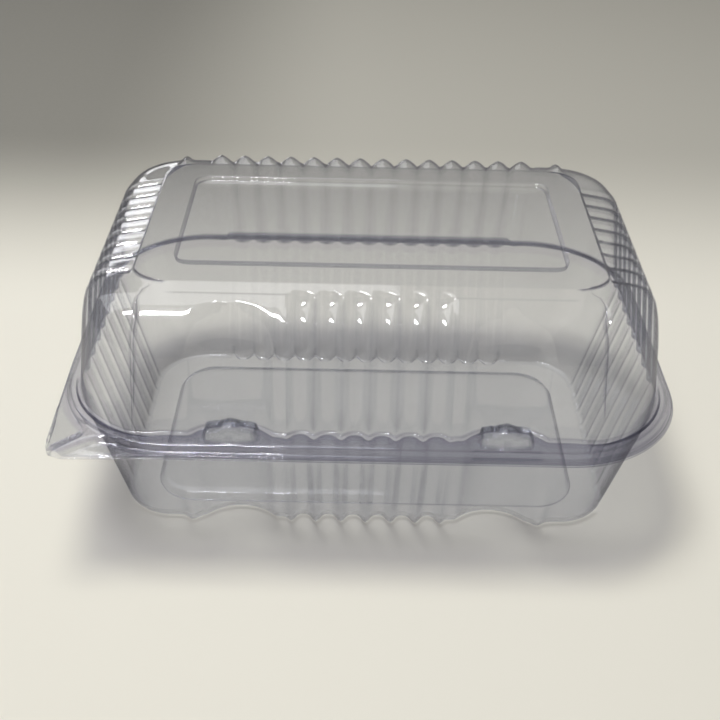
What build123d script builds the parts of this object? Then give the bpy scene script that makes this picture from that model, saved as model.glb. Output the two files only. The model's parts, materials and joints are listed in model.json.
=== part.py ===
"""Hinged clear pack: a tray and its lid, formed in one thin sheet and folded along the back edge.

The origin is on the ground, under the middle of the closed pack. +X runs to the right, -Y faces the
opening side. The walls are drawn about their own middle line and moved to the origin at the end.
"""
from build123d import *
import os
from math import cos, radians, sin, sqrt, tan

# Sheet and fits
sheet = 0.4
seat_gap = 0.25
overrun = 6.0

# Heights: the opened lid lies level with the tray, so the fold is half way up
fold_height = 52.3
closed_height = 2 * fold_height
lid_flange_top = fold_height + seat_gap / 2 + sheet
tray_flange_top = fold_height - seat_gap / 2

# Wall outline at the flange, and at the ground
root_half_width = 111.0
root_half_depth = 74.0
root_corner = 38.0
foot_half_width = 98.0
foot_half_depth = 56.5
foot_corner = 20.0

# Lid walls, shoulders and roof
lid_front_lean = 13.0
lid_end_lean = 8.5
crown_corner = 20.0
front_shoulder = 29.0
rear_shoulder = 23.0
end_shoulder = 9.0
crease_angle = 75.0
roof_angle = 80.0
flare_angle = 40.0
shoulder_proud = 0.4
saddle_half_width = 87.0
saddle_step = 2.6

# Recess in the top panel
recess_half_width = 72.8
recess_half_depth = 34.7
recess_centre = 3.2
recess_corner = 5.0
recess_sink = 2.0
recess_run = 1.5

# Front and rear flutes
flute_pitch = 9.93
flute_depth = 3.2
flute_land = 1.25
front_flutes = 6
rear_flutes = 13
flute_exit_angle = 43.0

# Two large bays in the front walls
bay_place = 50.0
bay_radius = 19.0
bay_depth = 8.5
bay_foot_depth = 5.5
bay_exit_angle = 21.0

# Pleats of the end walls: flat bands with narrow grooves between them
pleat_pitch = 10.1
pleat_centre = 1.7
pleat_grooves = 8
groove_radius = 2.0
groove_depth = 1.7
groove_end_land = 0.8

# Floor panel of the tray
floor_half_width = 84.0
floor_half_depth = 43.0
floor_corner = 14.0
floor_rise = 3.0
floor_run = 1.5

# Flange: a raised rim round the mouth, then a lower flat land
flange_width = 7.5
rim_width = 5.8
rim_rise = 2.6
rise_draft = 25.0

# Snap pads, one in each bay
pad_half_width = 6.6
pad_half_depth = 4.2
pad_setback = 3.2
pad_corner = 4.1
pad_rise = 5.6

# Pull tab at the front left corner, with a stiffening lobe
tab_corner = 6.0
tab_extra = 12.0
lobe_half_length = 9.0
lobe_half_width = 3.8
lobe_corner = 3.7
lobe_rise = 1.5

# Fold at the back
fold_reach = 4.0
fold_half_length = 68.0
fold_gap = 0.2
fold_y = root_half_depth + flange_width + fold_reach
middle_y = (fold_reach - fold_gap / 2) / 2


def frame_outline(half_width, half_depth, corner, height):
    """Rounded rectangle about the Z axis at a height."""
    return Pos(0, 0, height) * RectangleRounded(2 * half_width, 2 * half_depth, corner)


def flange_outline(reach, height):
    """Wall outline at the flange, pushed outwards by a reach."""
    return frame_outline(root_half_width + reach, root_half_depth + reach, root_corner + reach, height)


def tray_outline(inset, height):
    """Tray wall outline at a height, drawn in by an inset."""
    share = height / tray_flange_top
    return frame_outline(
        foot_half_width + share * (root_half_width - foot_half_width) - inset,
        foot_half_depth + share * (root_half_depth - foot_half_depth) - inset,
        foot_corner + share * (root_corner - foot_corner) - inset,
        height,
    )


def lid_outline(inset, height):
    """Lid wall outline at a height, drawn in by an inset."""
    climb = height - lid_flange_top
    share = climb / (closed_height - lid_flange_top)
    return frame_outline(
        root_half_width - climb * tan(radians(lid_end_lean)) - inset,
        root_half_depth - climb * tan(radians(lid_front_lean)) - inset,
        root_corner + share * (crown_corner - root_corner) - inset,
        height,
    )


def between(outline, inset, low, high):
    """Straight walls between two heights of an outline."""
    return loft([outline(inset, low), outline(inset, high)], ruled=True)


def rolled_centre(root_half, lean, radius):
    """Centre (out, height) of a front or rear shoulder arc that meets the top at the crease angle."""
    height = closed_height - radius * sin(radians(crease_angle))
    inward = radius - shoulder_proud + sin(radians(lean)) * (height - lid_flange_top)
    return root_half - inward / cos(radians(lean)), height


def end_centre():
    """Centre (out, height) of the end shoulder arc, which touches the roof and the end wall."""
    lean = radians(lid_end_lean)
    roof = radians(roof_angle)
    wall_reach = cos(lean) * root_half_width + sin(lean) * lid_flange_top - end_shoulder + shoulder_proud
    roof_height = closed_height - saddle_step
    roof_reach = cos(roof) * saddle_half_width + sin(roof) * roof_height - end_shoulder
    scale = sin(roof - lean)
    out = (wall_reach * sin(roof) - roof_reach * sin(lean)) / scale
    return out, (roof_reach * cos(lean) - wall_reach * cos(roof)) / scale


def on_arc(centre, radius, angle):
    """Point (out, height) on a shoulder arc; the angle is measured up from level."""
    return centre[0] + radius * cos(radians(angle)), centre[1] + radius * sin(radians(angle))


def flared_foot(start, low):
    """Point (out, height) where the flare below a shoulder arc comes down to a low height."""
    return start[0] + (start[1] - low) * tan(radians(flare_angle)), low


def rolled_side(root_half, radius, inset, low):
    """Top and one shoulder of the lid seen from its end, as a half profile from the middle line."""
    centre = rolled_centre(root_half, lid_front_lean, radius)
    bend = radius - inset
    top = closed_height - inset
    crease = (top - centre[1]) / bend
    edge = (centre[0] + bend * sqrt(1 - crease**2), top)
    low_start = on_arc(centre, bend, 0)
    middle = on_arc(centre, bend, crease_angle / 2)
    return edge, middle, low_start, flared_foot(low_start, low)


def rolled_prism(inset, low):
    """Everything under the rolled front and rear shoulders, as a prism along X."""
    front = rolled_side(root_half_depth, front_shoulder, inset, low)
    rear = rolled_side(root_half_depth, rear_shoulder, inset, low)
    front = [(-out, height) for out, height in front]
    with BuildSketch(Plane.YZ) as profile:
        with BuildLine():
            Line(front[0], rear[0])
            ThreePointArc(rear[0], rear[1], rear[2])
            Polyline(rear[2], rear[3], front[3], front[2])
            ThreePointArc(front[2], front[1], front[0])
        make_face()
    return extrude(profile.sketch, amount=root_half_width + overrun, both=True)


def end_side(inset, low):
    """Half profile of the roof and end shoulder seen from the front, from the saddle edge outwards."""
    centre = end_centre()
    bend = end_shoulder - inset
    roof_start = on_arc(centre, bend, roof_angle)
    saddle = saddle_half_width - inset
    roof_rise = (roof_start[0] - saddle) / tan(radians(roof_angle))
    low_start = on_arc(centre, bend, 0)
    return [
        (saddle, closed_height + overrun),
        (saddle, roof_start[1] + roof_rise),
        roof_start,
        on_arc(centre, bend, roof_angle / 2),
        low_start,
        flared_foot(low_start, low),
    ]


def end_prism(inset, low):
    """Everything under the saddle, the roofs and the end shoulders, as a prism along Y."""
    right = end_side(inset, low)
    left = [(-out, height) for out, height in right]
    with BuildSketch(Plane.XZ) as profile:
        with BuildLine():
            Polyline(right[0], right[1], right[2])
            ThreePointArc(right[2], right[3], right[4])
            Polyline(right[4], right[5], left[5], left[4])
            ThreePointArc(left[4], left[3], left[2])
            Polyline(left[2], left[1], left[0], right[0])
        make_face()
    return extrude(profile.sketch, amount=root_half_depth + overrun, both=True)


def lid_form(inset, low):
    """Plain form of the lid before its flutes: walls, shoulders, roofs and top panel."""
    walls = between(lid_outline, inset, low, closed_height + overrun)
    return walls & rolled_prism(inset, low - overrun) & end_prism(inset, low - overrun)


def bent_path(centre, radius, lean, exit_angle, run_down, run_up):
    """Corner points (out, height) of a path up a leaning wall and over its shoulder."""
    middle = radians((lean + exit_angle) / 2)
    reach = radius / cos(radians((exit_angle - lean) / 2))
    corner = (centre[0] + reach * cos(middle), centre[1] + reach * sin(middle))
    start = (corner[0] + run_down * sin(radians(lean)), corner[1] - run_down * cos(radians(lean)))
    end = (corner[0] - run_up * sin(radians(exit_angle)), corner[1] + run_up * cos(radians(exit_angle)))
    return start, corner, end


def pipe(points, radius, bend):
    """Round tool along two straight runs joined by a bend."""
    path = FilletPolyline(*points, radius=bend)
    return sweep(Plane(origin=path @ 0, z_dir=path % 0) * Circle(radius), path=path)


def flute_radius():
    """Radius of a flute that leaves the land between two neighbours flat."""
    half_chord = (flute_pitch - flute_land) / 2
    return (half_chord**2 + flute_depth**2) / (2 * flute_depth)


def places(count, pitch):
    """Evenly spaced places about zero."""
    return [(index - (count - 1) / 2) * pitch for index in range(count)]


def lid_wall_tool(side, shoulder, x, radius, depth, exit_angle, inset):
    """Groove up the front (side -1) or rear (side 1) wall of the lid, running out on its shoulder."""
    centre = rolled_centre(root_half_depth, lid_front_lean, shoulder)
    bend = shoulder + radius - depth
    run_down = closed_height - lid_flange_top + overrun
    points = bent_path(centre, bend, lid_front_lean, exit_angle, run_down, shoulder + overrun)
    return pipe([(x, side * out, height) for out, height in points], radius + inset, bend)


def lid_pleat_tool(side, y, inset):
    """Groove up an end wall of the lid and in over the roof to the saddle."""
    centre = end_centre()
    bend = end_shoulder + groove_radius - groove_depth
    run_down = closed_height - lid_flange_top + overrun
    start, corner, _ = bent_path(centre, bend, lid_end_lean, roof_angle, run_down, 0)
    end_out = saddle_half_width + groove_end_land - inset
    end = (end_out, corner[1] + (corner[0] - end_out) / tan(radians(roof_angle)))
    points = [(side * out, y, height) for out, height in (start, corner, end)]
    return pipe(points, groove_radius + inset, bend)


def lid_tools(inset):
    """Every flute, bay and pleat groove of the lid, grown by an inset."""
    radius = flute_radius()
    tools = []
    for x in places(front_flutes, flute_pitch):
        tools.append(lid_wall_tool(-1, front_shoulder, x, radius, flute_depth, flute_exit_angle, inset))
    for x in places(rear_flutes, flute_pitch):
        tools.append(lid_wall_tool(1, rear_shoulder, x, radius, flute_depth, flute_exit_angle, inset))
    for x in (-bay_place, bay_place):
        tools.append(lid_wall_tool(-1, front_shoulder, x, bay_radius, bay_depth, bay_exit_angle, inset))
    for y in places(pleat_grooves, pleat_pitch):
        for side in (-1, 1):
            tools.append(lid_pleat_tool(side, y + pleat_centre, inset))
    return tools


def straight_tool(foot, head, radius):
    """Round tool along a straight line, run past both ends."""
    start = Vector(*foot)
    along = (Vector(*head) - start).normalized()
    length = (Vector(*head) - start).length + 2 * overrun
    at = Plane(origin=start - along * overrun, z_dir=along)
    return at * Cylinder(radius, length, align=(Align.CENTER, Align.CENTER, Align.MIN))


def tray_tools(inset):
    """Every flute, bay and pleat groove of the tray, grown by an inset."""
    radius = flute_radius()
    out = radius - flute_depth
    tools = []
    for side, count in ((-1, front_flutes), (1, rear_flutes)):
        for x in places(count, flute_pitch):
            foot = (x, side * (foot_half_depth + out), 0)
            head = (x, side * (root_half_depth + out), tray_flange_top)
            tools.append(straight_tool(foot, head, radius + inset))
    for x in (-bay_place, bay_place):
        foot = (x, -(foot_half_depth + bay_radius - bay_foot_depth), 0)
        head = (x, -(root_half_depth + bay_radius - bay_depth), tray_flange_top)
        tools.append(straight_tool(foot, head, bay_radius + inset))
    out = groove_radius - groove_depth
    for y in places(pleat_grooves, pleat_pitch):
        for side in (-1, 1):
            foot = (side * (foot_half_width + out), y + pleat_centre, 0)
            head = (side * (root_half_width + out), y + pleat_centre, tray_flange_top)
            tools.append(straight_tool(foot, head, groove_radius + inset))
    return tools


def top_recess(inset):
    """Tapered sink in the top panel, grown by an inset."""
    slope = recess_run / recess_sink
    floor = closed_height - recess_sink - inset
    sections = []
    for height in (floor, closed_height + overrun):
        grow = inset + (height - floor) * slope
        sections.append(
            frame_outline(recess_half_width + grow, recess_half_depth + grow, recess_corner + grow, height)
        )
    return Pos(0, recess_centre, 0) * loft(sections, ruled=True)


def floor_panel(inset):
    """Tapered block that lifts the middle of the floor, grown by an inset."""
    slope = floor_run / floor_rise
    top = floor_rise + inset
    sections = []
    for height in (-overrun, top):
        grow = inset + (top - height) * slope
        sections.append(
            frame_outline(floor_half_width + grow, floor_half_depth + grow, floor_corner + grow, height)
        )
    return loft(sections, ruled=True)


def side_shrink(depth, height):
    """How far a drafted side has drawn in at a height, on the surface a depth under the lid's own."""
    draft = radians(rise_draft)
    return depth / cos(draft) + (height - lid_flange_top) * tan(draft)


def rim_top(depth):
    """Height of the raised rim, on the surface a depth under the lid's own."""
    return lid_flange_top + rim_rise - depth


def raised_rim(depth, low):
    """Raised rim, filled in the middle, on the surface a depth under the lid's own."""
    sections = []
    for height in (low, rim_top(depth)):
        sections.append(flange_outline(rim_width - side_shrink(depth, height), height))
    return loft(sections, ruled=True)


def boss(half_length, half_width, corner, rise, depth, low):
    """Raised drafted pad, on the surface a depth under the lid's own."""
    sections = []
    for height in (low, lid_flange_top + rise - depth):
        shrink = side_shrink(depth, height)
        sections.append(frame_outline(half_length - shrink, half_width - shrink, corner - shrink, height))
    return loft(sections, ruled=True)


def rises(depth, low):
    """Raised rim, snap pads and tab lobe of one surface of the flange."""
    pad = boss(pad_half_width, pad_half_depth, pad_corner, pad_rise, depth, low)
    pad_y = pad_setback - root_half_depth
    corner_x = root_half_width - root_corner
    corner_y = root_half_depth - root_corner
    lobe = boss(lobe_half_length, lobe_half_width, lobe_corner, lobe_rise, depth, low)
    diagonal = sqrt(1 / 2)
    out = root_corner + rim_width / 2 + lobe_half_length
    at = Pos(-corner_x - diagonal * out, -corner_y - diagonal * out, 0) * Rot(0, 0, 45)
    return [raised_rim(depth, low), Pos(-bay_place, pad_y, 0) * pad, Pos(bay_place, pad_y, 0) * pad, at * lobe]


def flange_plate(top):
    """Flat sheet of the flange with the pull tab and half of the fold, filled in the middle."""
    reach = root_corner + flange_width + tab_extra
    tab_x = reach / 2 - root_half_width - flange_width
    tab_y = reach / 2 - root_half_depth - flange_width
    land_length = fold_y - fold_gap / 2
    outline = flange_outline(flange_width, 0)
    outline += Pos(tab_x, tab_y) * RectangleRounded(reach, reach, tab_corner)
    outline += Rectangle(2 * fold_half_length, land_length, align=(Align.CENTER, Align.MIN))
    return Pos(0, 0, top - sheet) * extrude(outline, amount=sheet)


def with_flange(form, top, depth):
    """A half's filled form with its flange and everything that rises from it."""
    return form + [flange_plate(top), *rises(depth, top - sheet)]


def base_tray():
    """Lower half of the pack: the undersides of the rises are cut outside its walls only."""
    depth = sheet + seat_gap
    mouth = rim_top(depth)
    form = between(tray_outline, 0, 0, mouth) - [*tray_tools(0), floor_panel(0)]
    hollow = between(tray_outline, sheet, sheet, mouth + overrun)
    hollow -= [*tray_tools(sheet), floor_panel(sheet)]
    undersides = [under - form for under in rises(depth + sheet, tray_flange_top - 2 * sheet)]
    return with_flange(form, tray_flange_top, depth) - [hollow, *undersides]


def lid():
    """Upper half of the pack: its walls stand on the raised rim."""
    low = lid_flange_top - sheet
    form = lid_form(0, low) - [*lid_tools(0), top_recess(0)]
    hollow = lid_form(sheet, low - overrun) - [*lid_tools(sheet), top_recess(sheet)]
    undersides = rises(sheet, low - sheet)
    return with_flange(form, lid_flange_top, 0) - [hollow, *undersides]


os.makedirs("parts", exist_ok=True)
for name, build in (("base_tray", base_tray), ("lid", lid)):
    export_step(Pos(0, -middle_y, 0) * build(), f"parts/{name}.step")
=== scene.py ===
"""Looks of the hinged clear pack: two halves formed in thin clear sheet, a pale floor and soft light.

Sizes of the two halves are millimetres about the middle of their walls, and the camera's place is in
millimetres too. Meshes, finishes, the floor and the lamps are in metres, in the part's frame.
"""

import json
import logging
from dataclasses import dataclass
from enum import Enum
from math import cos, pi, radians, sin, tan
from typing import Any, Sequence

import bmesh
import bpy
import numpy as np
from mathutils import Matrix, Vector


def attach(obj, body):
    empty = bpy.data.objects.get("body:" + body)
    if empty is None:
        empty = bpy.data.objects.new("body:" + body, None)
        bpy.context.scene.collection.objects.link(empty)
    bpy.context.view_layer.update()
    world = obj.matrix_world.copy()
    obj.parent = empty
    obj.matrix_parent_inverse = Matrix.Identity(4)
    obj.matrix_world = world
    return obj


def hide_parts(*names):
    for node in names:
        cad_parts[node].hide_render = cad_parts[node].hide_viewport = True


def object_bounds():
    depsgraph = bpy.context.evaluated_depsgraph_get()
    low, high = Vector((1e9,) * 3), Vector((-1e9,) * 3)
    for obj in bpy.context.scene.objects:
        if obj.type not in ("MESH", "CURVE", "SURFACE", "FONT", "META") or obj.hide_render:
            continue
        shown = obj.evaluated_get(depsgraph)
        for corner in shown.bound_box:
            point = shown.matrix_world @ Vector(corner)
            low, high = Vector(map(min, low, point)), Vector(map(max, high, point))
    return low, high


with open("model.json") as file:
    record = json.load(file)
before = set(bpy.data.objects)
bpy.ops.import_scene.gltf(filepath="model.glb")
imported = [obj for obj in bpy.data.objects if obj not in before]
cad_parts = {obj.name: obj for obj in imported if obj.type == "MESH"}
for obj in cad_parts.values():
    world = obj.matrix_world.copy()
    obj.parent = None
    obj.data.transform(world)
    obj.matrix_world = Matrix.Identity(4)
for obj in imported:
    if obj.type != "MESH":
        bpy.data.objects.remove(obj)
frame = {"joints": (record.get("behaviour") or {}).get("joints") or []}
CAD_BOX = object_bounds()

LOG = logging.getLogger("hinged_pack")
MM = 0.001
Array = np.ndarray
Point = tuple[float, float]
Range = tuple[float, float]
Place = tuple[float, float, float]
Colour = tuple[float, float, float, float]
Parts = tuple[tuple[float, int], ...]

# Shares of the outline's normal over which a long and a short side begin
LONG_SIDE: Range = (0.3, 0.8)
SHORT_SIDE: Range = (0.8, 0.97)

# Levels between the edge of a half's middle panel and its wall
BRIDGE = 2

# Last place in a table of steps: the end of the path
TO_END = -1e-6

# Sockets of a colour Mix node: its two colours, and the colour that it gives
MIX_FIRST = 6
MIX_SECOND = 7
MIX_RESULT = 2


class Side(Enum):
    """The two long sides of the pack; the value is the sign of Y."""

    FRONT = -1
    REAR = 1


class Facing(Enum):
    """Which way the outer face of a half looks in the middle; the value is the sign of Z."""

    DOWN = -1
    UP = 1


class LampUse(Enum):
    """What a lamp is for: lighting the floor, or being mirrored in the sheet."""

    FILL = "fill"
    GLINT = "glint"


def smooth(low: float, high: float, value: Any) -> Any:
    """Smooth step: a share that goes from 0 to 1 as a value goes from low to high, level at both ends."""
    share = np.clip((value - low) / (high - low), 0.0, 1.0)
    return share * share * (3.0 - 2.0 * share)


def above_zero(value: Any, blend: float) -> Any:
    """The part of a value above zero, with the corner rounded over a blend width."""
    return (value + np.sqrt(value * value + blend * blend)) / 2


def mix(first: Any, second: Any, share: Any) -> Any:
    """Goes from the first value to the second as the share goes from 0 to 1."""
    return first + (second - first) * share


def rounded_path(points: Sequence[Point], radii: Sequence[float], steps: int = 24) -> Array:
    """Path through corner points with each corner rounded.

    Args:
        points: corners as (out, height).
        radii: one radius for each corner between the two ends.
        steps: points on each rounded corner.

    Returns:
        Close points along the path, one row each.
    """
    corners = [np.array(point, float) for point in points]
    path = [corners[0]]
    for before, corner, after, radius in zip(corners, corners[1:], corners[2:], radii):
        back, ahead = before - corner, after - corner
        back, ahead = back / np.linalg.norm(back), ahead / np.linalg.norm(ahead)
        half = np.arccos(np.clip(back @ ahead, -1, 1)) / 2
        reach = radius / tan(half)
        middle = (back + ahead) / np.linalg.norm(back + ahead)
        centre = corner + middle * radius / sin(half)
        start, end = corner + back * reach - centre, corner + ahead * reach - centre
        turn = pi - 2 * half
        for share in np.linspace(0, 1, steps):
            near, far = sin((1 - share) * turn), sin(share * turn)
            path.append(centre + (start * near + end * far) / sin(turn))
    path.append(corners[-1])
    return np.array(path)


def between(first: Any, last: Any) -> Array:
    """The bridging levels' even steps from one point or size to another, without the two."""
    return np.linspace(first, last, BRIDGE + 2)[1:-1]


def stepped(path: Array, parts: Sequence[tuple[float, int]]) -> Array:
    """Points along a path, with a set number of steps in each part of its length.

    Args:
        path: close points along the path.
        parts: where each part ends, measured from the start or, when negative, from the end; its steps.

    Returns:
        The points, one row each; the last part runs to the end of the path.
    """
    lengths = np.concatenate([[0.0], np.cumsum(np.linalg.norm(np.diff(path, axis=0), axis=1))])
    total = lengths[-1]
    places = [0.0]
    for end, steps in parts:
        place = end if end > 0 else total + end
        places.extend(np.linspace(places[-1], place, steps + 1)[1:])
    return np.stack([np.interp(places, lengths, path[:, axis]) for axis in (0, 1)], axis=1)


def meeting(first: Point, first_angle: float, second: Point, second_angle: float) -> Point:
    """Where two lines meet.

    Args:
        first: point (out, height) on the first line.
        first_angle: degrees that the first line's own normal stands above level.
        second: point on the second line.
        second_angle: the same for the second line.

    Returns:
        The meeting point (out, height).
    """
    rows, reaches = [], []
    for point, angle in ((first, first_angle), (second, second_angle)):
        rows.append((cos(radians(angle)), sin(radians(angle))))
        reaches.append(rows[-1][0] * point[0] + rows[-1][1] * point[1])
    out, height = np.linalg.solve(np.array(rows), np.array(reaches))
    return float(out), float(height)


@dataclass(frozen=True)
class PackSizes:
    """Sizes that both halves share, worked out from the frame where it holds them."""

    sheet: float = 0.4
    seat_gap: float = 0.25
    flange_width: float = 7.5
    root_corner: float = 38.0
    fold_reach: float = 4.0
    fold_half_length: float = 68.0
    fold_gap: float = 0.2
    panel_half_width: float = 87.0
    flute_pitch: float = 9.93
    flute_depth: float = 3.2
    flute_land: float = 1.25
    front_flutes: int = 6
    rear_flutes: int = 13
    bay_place: float = 50.0
    bay_radius: float = 19.0
    pleat_pitch: float = 10.1
    pleat_centre: float = 1.7
    pleat_grooves: int = 8
    groove_depth: float = 1.7
    groove_half_floor: float = 0.35
    groove_half_width: float = 1.75
    crest_spread: float = 1.5

    @property
    def closed_height(self) -> float:
        """Height of the closed pack."""
        return (CAD_BOX[1][2] - CAD_BOX[0][2]) / MM

    @property
    def fold_height(self) -> float:
        """Height of the fold line."""
        return frame["joints"][0]["pos_m"][2] / MM

    @property
    def root_half_width(self) -> float:
        """Half width of the walls where they meet the flange."""
        return (CAD_BOX[1][0] - CAD_BOX[0][0]) / MM / 2 - self.flange_width

    @property
    def middle_y(self) -> float:
        """How far the part's origin lies behind the middle of the walls."""
        return (self.fold_reach - self.fold_gap / 2) / 2

    @property
    def root_half_depth(self) -> float:
        """Half depth of the walls where they meet the flange."""
        return -CAD_BOX[0][1] / MM - self.flange_width - self.middle_y

    @property
    def lid_flange_top(self) -> float:
        """Height of the upper face of the lid's flange."""
        return self.fold_height + self.seat_gap / 2 + self.sheet

    @property
    def tray_flange_low(self) -> float:
        """Height of the lower face of the tray's flange."""
        return self.fold_height - self.seat_gap / 2 - self.sheet

    @property
    def flute_radius(self) -> float:
        """Radius of a flute that leaves the land between two neighbours flat."""
        half_chord = (self.flute_pitch - self.flute_land) / 2
        return (half_chord**2 + self.flute_depth**2) / (2 * self.flute_depth)

    @property
    def groove_places(self) -> Array:
        """Places of the pleat grooves along a short side."""
        from_middle = np.arange(self.pleat_grooves) - (self.pleat_grooves - 1) / 2
        return self.pleat_centre + from_middle * self.pleat_pitch

    def flute_count(self, side: Side) -> int:
        """Number of flutes on a long side."""
        return self.front_flutes if side is Side.FRONT else self.rear_flutes


@dataclass
class Levels:
    """Outlines of a half, one for each level from its middle to the edge of its flange.

    The front, rear and end hold (out, height) on those sides. The corner is the outline's corner radius, the
    centre its shift along Y, flat the share of a flat front panel, and spread how far that panel widens.
    """

    front: Array
    rear: Array
    end: Array
    corner: Array
    centre: Array
    flat: Array
    spread: Array

    def tilt(self, profile: Array, facing: Facing) -> Array:
        """Angle of the outer face's normal above level at each point of a profile, in radians."""
        out, height = np.gradient(profile[:, 0]), np.gradient(profile[:, 1])
        return facing.value * np.arctan2(out, -facing.value * height)


@dataclass
class Surface:
    """A half's outer face: a row for each level and a column for each station round the pack.

    Across and ahead are the outline's normal along X and Y, and tilt is the face's angle above level.
    """

    x: Array
    y: Array
    z: Array
    across: Array
    ahead: Array
    tilt: Array

    def push(self, amount: Array) -> None:
        """Moves the face outwards along its own normal.

        Args:
            amount: how far each point moves.
        """
        level = np.cos(self.tilt) * amount
        self.x = self.x + self.across * level
        self.y = self.y + self.ahead * level
        self.z = self.z + np.sin(self.tilt) * amount

    def push_level(self, amount: Array) -> None:
        """Moves the face outwards without changing its height."""
        self.x = self.x + self.across * amount
        self.y = self.y + self.ahead * amount

    def side(self, side: Side) -> Array:
        """Share of each point that belongs to a long side."""
        return smooth(*LONG_SIDE, side.value * self.ahead)

    def end(self) -> Array:
        """Share of each point that belongs to a short side."""
        return smooth(*SHORT_SIDE, np.abs(self.across))


@dataclass
class Perimeter:
    """Stations round the pack: close ones across the flutes and pleats, wider ones at the corners."""

    sizes: PackSizes
    flute_steps: int = 8
    flute_zone: int = 56
    panel_step: float = 1.5
    corner_steps: int = 16
    tab_steps: int = 48
    edge_steps: tuple[float, ...] = (1.0, 0.6, 0.3, 0.0)
    first_steps: tuple[float, ...] = (0.004, 0.009, 0.016)
    end_reach: float = 39.0
    end_gap: float = 0.3
    corner_crowding: float = 1.3
    corner_share: float = 0.25
    corner_limit: float = 0.8
    groove_steps: tuple[float, ...] = (-3.1, -1.8, -1.2, -0.6, 0.0, 0.6, 1.2, 1.8, 3.1, 5.05)

    def along(self) -> Array:
        """Places along a long side.

        Returns:
            Distances from its middle, out to the edge of the flat panel.
        """
        fine = np.arange(self.flute_zone + 1) * self.sizes.flute_pitch / self.flute_steps
        rest = self.sizes.panel_half_width - fine[-1]
        count = int(rest / self.panel_step)
        wide = fine[-1] + rest * np.arange(1, count + 1) / count
        return np.concatenate([fine, wide[:-1], wide[-1] - np.array(self.edge_steps)])

    def up_end(self, side: Side) -> Array:
        """Places along half of a short side, close at the grooves.

        Args:
            side: the long side that the half belongs to.

        Returns:
            Distances from the middle of the short side, from the corner inwards.
        """
        marks = np.add.outer(self.sizes.groove_places, np.array(self.groove_steps)).ravel() * side.value
        marks = np.sort(marks[(marks > self.end_gap) & (marks < self.end_reach)])
        return np.concatenate([marks[::-1], [0.0]])

    def quarter(self, levels: Levels, side: Side, corner: Array, steps: int) -> tuple[Array, ...]:
        """One quarter of every level's outline.

        Args:
            levels: the half's outlines.
            side: the long side that the quarter belongs to.
            corner: corner radius at each level.
            steps: number of stations round the corner.

        Returns:
            Places x and y and the outline's normal, as arrays of levels by stations.
        """
        along, up_end = self.along(), self.up_end(side)
        profile = levels.front if side is Side.FRONT else levels.rear
        long_half, end_half, corner = profile[:, :1], levels.end[:, :1], corner[:, None]
        flat = levels.flat[:, None] * (side is Side.FRONT)
        spread = levels.spread[:, None] * smooth(along[self.flute_zone], along[-1], along)
        inner, straight = end_half - corner, long_half - corner
        x_long = along * np.minimum(1, (inner + self.corner_limit * corner) / along[-1]) + spread
        turn = np.arcsin(np.clip((x_long - inner) / corner, 0, 1))
        y_long = mix(long_half - corner * (1 - np.cos(turn)), long_half, flat)
        start = turn[:, -1:]
        up_end = up_end * np.minimum(1, (straight + self.corner_share * corner) / up_end[0])
        bent = np.maximum(up_end - straight, 0) / corner
        x_end = end_half - corner * (1 - np.cos(bent))
        y_end = np.minimum(up_end, straight) + corner * np.sin(bent)
        lead = np.maximum(inner - x_long[:, -1:], 0)
        arc = corner * (pi / 2 - start - bent[:, :1])
        tail = np.maximum(straight - up_end[:, :1], 0)
        even = np.arange(1, steps) / steps
        shares = np.sort(np.concatenate([self.first_steps, even**self.corner_crowding]))
        walked = (lead + arc + tail) * shares
        turn_arc = start + np.clip(walked - lead, 0, arc) / corner
        x_arc = np.where(walked < lead, x_long[:, -1:] + walked, inner + corner * np.sin(turn_arc))
        y_arc = long_half - corner * (1 - np.cos(turn_arc)) - np.maximum(walked - lead - arc, 0)
        x = np.concatenate([x_long, x_arc, x_end], axis=1)
        y = np.concatenate([y_long, y_arc, y_end], axis=1)
        turns = np.concatenate([turn * (1 - flat), turn_arc, pi / 2 - bent], axis=1)
        return x, y, np.sin(turns), np.cos(turns)

    def place(self, levels: Levels, facing: Facing, tabbed: Array) -> Surface:
        """Lays every level of a half round the pack.

        Args:
            levels: the half's outlines.
            facing: which way the half's outer face looks in the middle.
            tabbed: corner radius of each level at the pull tab.

        Returns:
            The plain face, before its flutes and pleats.
        """
        columns: dict[str, list[Array]] = {name: [] for name in ("x", "y", "z", "across", "ahead", "tilt")}
        end_tilt = levels.tilt(levels.end, facing)[:, None]
        quarters = ((1, Side.FRONT, 0), (1, Side.REAR, 1), (-1, Side.REAR, 0), (-1, Side.FRONT, 1))
        for right, side, reverse in quarters:
            profile = levels.front if side is Side.FRONT else levels.rear
            at_tab = right < 0 and side is Side.FRONT
            corner = tabbed if at_tab else levels.corner
            steps = self.tab_steps if at_tab else self.corner_steps
            x, y, across, ahead = self.quarter(levels, side, corner, steps)
            height = profile[:, 1:] * ahead**2 + levels.end[:, 1:] * across**2
            tilt = levels.tilt(profile, facing)[:, None] * ahead**2 + end_tilt * across**2
            made = {
                "x": right * x,
                "y": side.value * y + levels.centre[:, None],
                "z": height,
                "across": right * across,
                "ahead": side.value * ahead,
                "tilt": tilt,
            }
            for name, values in made.items():
                columns[name].append(values[:, ::-1][:, :-1] if reverse else values[:, :-1])
        return Surface(**{name: np.concatenate(parts, axis=1) for name, parts in columns.items()})


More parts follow.
